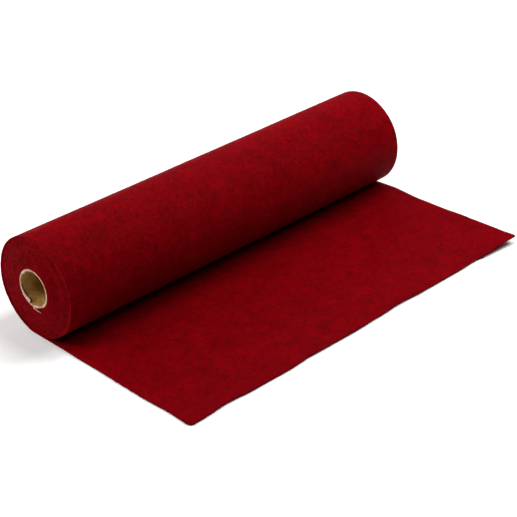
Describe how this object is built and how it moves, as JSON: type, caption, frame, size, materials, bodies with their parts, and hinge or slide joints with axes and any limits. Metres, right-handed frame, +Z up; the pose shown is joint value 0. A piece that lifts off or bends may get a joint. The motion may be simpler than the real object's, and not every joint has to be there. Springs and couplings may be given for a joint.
{
  "type": "roll of felt",
  "caption": "Roll of craft felt wound on an open cardboard core, lying down, with its free end laid out flat in front of it.",
  "frame": {"origin": "bottom centre of the bounding box, on the ground under the place where the loose cloth leaves the roll's front", "axes": "+X along the roll, with the end whose core stands out at -X; -Y the way the loose end is laid out; +Z up"},
  "size_m": [0.455, 0.2589, 0.1012],
  "materials": {
    "felt": "deep crimson needle-punched felt, matt, slightly mottled with darker fibres",
    "cardboard": "brown spirally wound board, matt, pale and ragged at its cut ends"
  },
  "bodies": {
    "root": {"felt": "felt", "core": "cardboard"}
  },
  "joints": []
}
